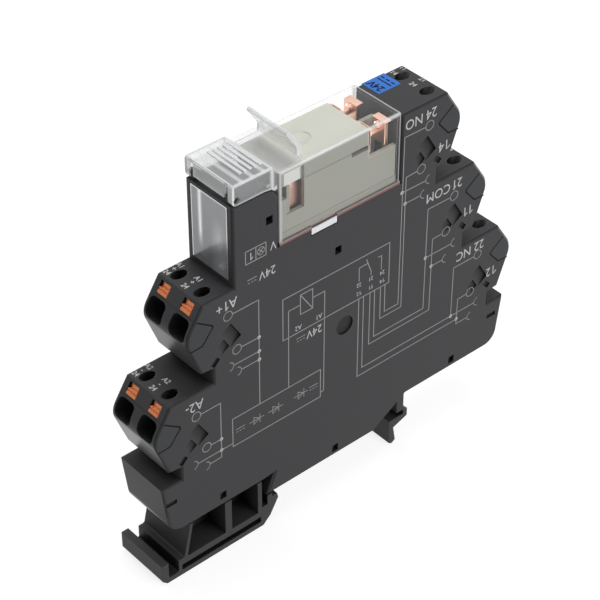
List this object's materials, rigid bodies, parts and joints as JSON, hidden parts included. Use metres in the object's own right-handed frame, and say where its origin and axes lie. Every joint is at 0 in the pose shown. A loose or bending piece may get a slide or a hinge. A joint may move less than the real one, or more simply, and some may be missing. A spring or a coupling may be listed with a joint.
{
  "type": "interface relay",
  "caption": "Slim rail-mounted interface relay module with a clear plug-in relay, a lever ejector clip, stepped spring terminals and a latch foot for a top-hat rail.",
  "frame": {"origin": "rail centre line, mid-width, in the plane that the rail's lips bear on", "axes": "+X from the input terminals to the output terminals, +Y across the module away from its printed side, +Z away from the rail"},
  "size_m": [0.0896, 0.0128, 0.0876],
  "materials": {
    "housing_grey": "satin",
    "insert_grey": "satin",
    "orange_plastic": "satin",
    "spring_steel": "bright",
    "tinned_copper": "tinned",
    "board_green": "satin",
    "led_green": "clear tinted",
    "window_grey": "smoked",
    "tag_blue": "satin",
    "clear_plastic": "clear",
    "base_brown": "matte",
    "frame_beige": "matte",
    "winding_copper": "enamelled wire",
    "soft_iron": "nickel plated",
    "card_white": "matte",
    "contact_brass": "satin"
  },
  "bodies": {
    "housing": {"housing_shell": "housing_grey", "side_cover": "housing_grey", "wire_insert_a1": "insert_grey", "wire_insert_a2": "insert_grey", "wire_insert_nc": "insert_grey", "wire_insert_com": "insert_grey", "wire_insert_no": "insert_grey", "clamp_spring_a1_near": "spring_steel", "clamp_spring_a1_far": "spring_steel", "clamp_spring_a2_near": "spring_steel", "clamp_spring_a2_far": "spring_steel", "clamp_spring_12": "spring_steel", "clamp_spring_22": "spring_steel", "clamp_spring_11": "spring_steel", "clamp_spring_21": "spring_steel", "clamp_spring_14": "spring_steel", "clamp_spring_24": "spring_steel", "busbar_a1": "tinned_copper", "busbar_a2": "tinned_copper", "busbar_12": "tinned_copper", "busbar_22": "tinned_copper", "busbar_11": "tinned_copper", "busbar_21": "tinned_copper", "busbar_14": "tinned_copper", "busbar_24": "tinned_copper", "coil_socket_near": "tinned_copper", "coil_socket_far": "tinned_copper", "circuit_board": "board_green", "led": "led_green", "marker_window": "window_grey", "voltage_tag": "tag_blue"},
    "pusher_a1_near": {"pusher_a1_near": "orange_plastic"},
    "pusher_a1_far": {"pusher_a1_far": "orange_plastic"},
    "pusher_a2_near": {"pusher_a2_near": "orange_plastic"},
    "pusher_a2_far": {"pusher_a2_far": "orange_plastic"},
    "pusher_12": {"pusher_12": "orange_plastic"},
    "pusher_22": {"pusher_22": "orange_plastic"},
    "pusher_11": {"pusher_11": "orange_plastic"},
    "pusher_21": {"pusher_21": "orange_plastic"},
    "pusher_14": {"pusher_14": "orange_plastic"},
    "pusher_24": {"pusher_24": "orange_plastic"},
    "latch": {"rail_latch": "housing_grey"},
    "clip": {"ejector_clip": "clear_plastic"},
    "relay": {"relay_case": "clear_plastic", "relay_base": "base_brown", "relay_frame": "frame_beige", "coil_winding": "winding_copper", "core_yoke": "soft_iron", "relay_contact_12": "contact_brass", "relay_contact_14": "contact_brass", "relay_contact_22": "contact_brass", "relay_contact_24": "contact_brass", "relay_pin_11": "contact_brass", "relay_pin_21": "contact_brass", "coil_pin_near": "contact_brass", "coil_pin_far": "contact_brass"},
    "armature": {"armature": "soft_iron"},
    "card": {"card": "card_white"},
    "moving_spring_1": {"moving_spring_1": "contact_brass"},
    "moving_spring_2": {"moving_spring_2": "contact_brass"}
  },
  "joints": [
    {"name": "push_a1_near", "type": "slide", "parent": "housing", "child": "pusher_a1_near", "axis": [0.9205, 0, -0.3907], "range_m": [0, 0.0009], "stiffness_N_per_m": 400, "deforming": ["clamp_spring_a1_near"]},
    {"name": "push_a1_far", "type": "slide", "parent": "housing", "child": "pusher_a1_far", "axis": [0.9205, 0, -0.3907], "range_m": [0, 0.0009], "stiffness_N_per_m": 400, "deforming": ["clamp_spring_a1_far"]},
    {"name": "push_a2_near", "type": "slide", "parent": "housing", "child": "pusher_a2_near", "axis": [0.9205, 0, -0.3907], "range_m": [0, 0.0009], "stiffness_N_per_m": 400, "deforming": ["clamp_spring_a2_near"]},
    {"name": "push_a2_far", "type": "slide", "parent": "housing", "child": "pusher_a2_far", "axis": [0.9205, 0, -0.3907], "range_m": [0, 0.0009], "stiffness_N_per_m": 400, "deforming": ["clamp_spring_a2_far"]},
    {"name": "push_12", "type": "slide", "parent": "housing", "child": "pusher_12", "axis": [-0.9205, 0, -0.3907], "range_m": [0, 0.0009], "stiffness_N_per_m": 400, "deforming": ["clamp_spring_12"]},
    {"name": "push_22", "type": "slide", "parent": "housing", "child": "pusher_22", "axis": [-0.9205, 0, -0.3907], "range_m": [0, 0.0009], "stiffness_N_per_m": 400, "deforming": ["clamp_spring_22"]},
    {"name": "push_11", "type": "slide", "parent": "housing", "child": "pusher_11", "axis": [-0.9205, 0, -0.3907], "range_m": [0, 0.0009], "stiffness_N_per_m": 400, "deforming": ["clamp_spring_11"]},
    {"name": "push_21", "type": "slide", "parent": "housing", "child": "pusher_21", "axis": [-0.9205, 0, -0.3907], "range_m": [0, 0.0009], "stiffness_N_per_m": 400, "deforming": ["clamp_spring_21"]},
    {"name": "push_14", "type": "slide", "parent": "housing", "child": "pusher_14", "axis": [-0.9205, 0, -0.3907], "range_m": [0, 0.0009], "stiffness_N_per_m": 400, "deforming": ["clamp_spring_14"]},
    {"name": "push_24", "type": "slide", "parent": "housing", "child": "pusher_24", "axis": [-0.9205, 0, -0.3907], "range_m": [0, 0.0009], "stiffness_N_per_m": 400, "deforming": ["clamp_spring_24"]},
    {"name": "latch_slide", "type": "slide", "parent": "housing", "child": "latch", "axis": [-1, 0, 0], "range_m": [0, 0.0023], "stiffness_N_per_m": 1500},
    {"name": "clip_hinge", "type": "hinge", "parent": "housing", "child": "clip", "pos_m": [-0.0249, 0, 0.0723], "axis": [0, -1, 0], "range_deg": [0, 60]},
    {"name": "relay_lift", "type": "slide", "parent": "housing", "child": "relay", "axis": [0, 0, 1], "range_m": [0, 0.003]},
    {"name": "armature_hinge", "type": "hinge", "parent": "relay", "child": "armature", "pos_m": [0.00095, 0, 0.06915], "axis": [0, 1, 0], "range_deg": [0, 8], "stiffness_Nm_per_rad": 0.001},
    {"name": "card_slide", "type": "slide", "parent": "relay", "child": "card", "axis": [1, 0, 0], "range_m": [0, 0.00044]},
    {"name": "spring_1_flex", "type": "hinge", "parent": "relay", "child": "moving_spring_1", "pos_m": [0.0067, -0.00375, 0.0609], "axis": [0, 1, 0], "range_deg": [0, 2.44]},
    {"name": "spring_2_flex", "type": "hinge", "parent": "relay", "child": "moving_spring_2", "pos_m": [0.0067, 0.00375, 0.0609], "axis": [0, 1, 0], "range_deg": [0, 2.44]}
  ],
  "couplings": [
    {"joint": "clip_hinge", "follows": "relay_lift", "rad_per_m": 349.06},
    {"joint": "card_slide", "follows": "armature_hinge", "m_per_rad": 0.0031},
    {"joint": "spring_1_flex", "follows": "armature_hinge", "ratio": 0.3043},
    {"joint": "spring_2_flex", "follows": "armature_hinge", "ratio": 0.3043}
  ]
}
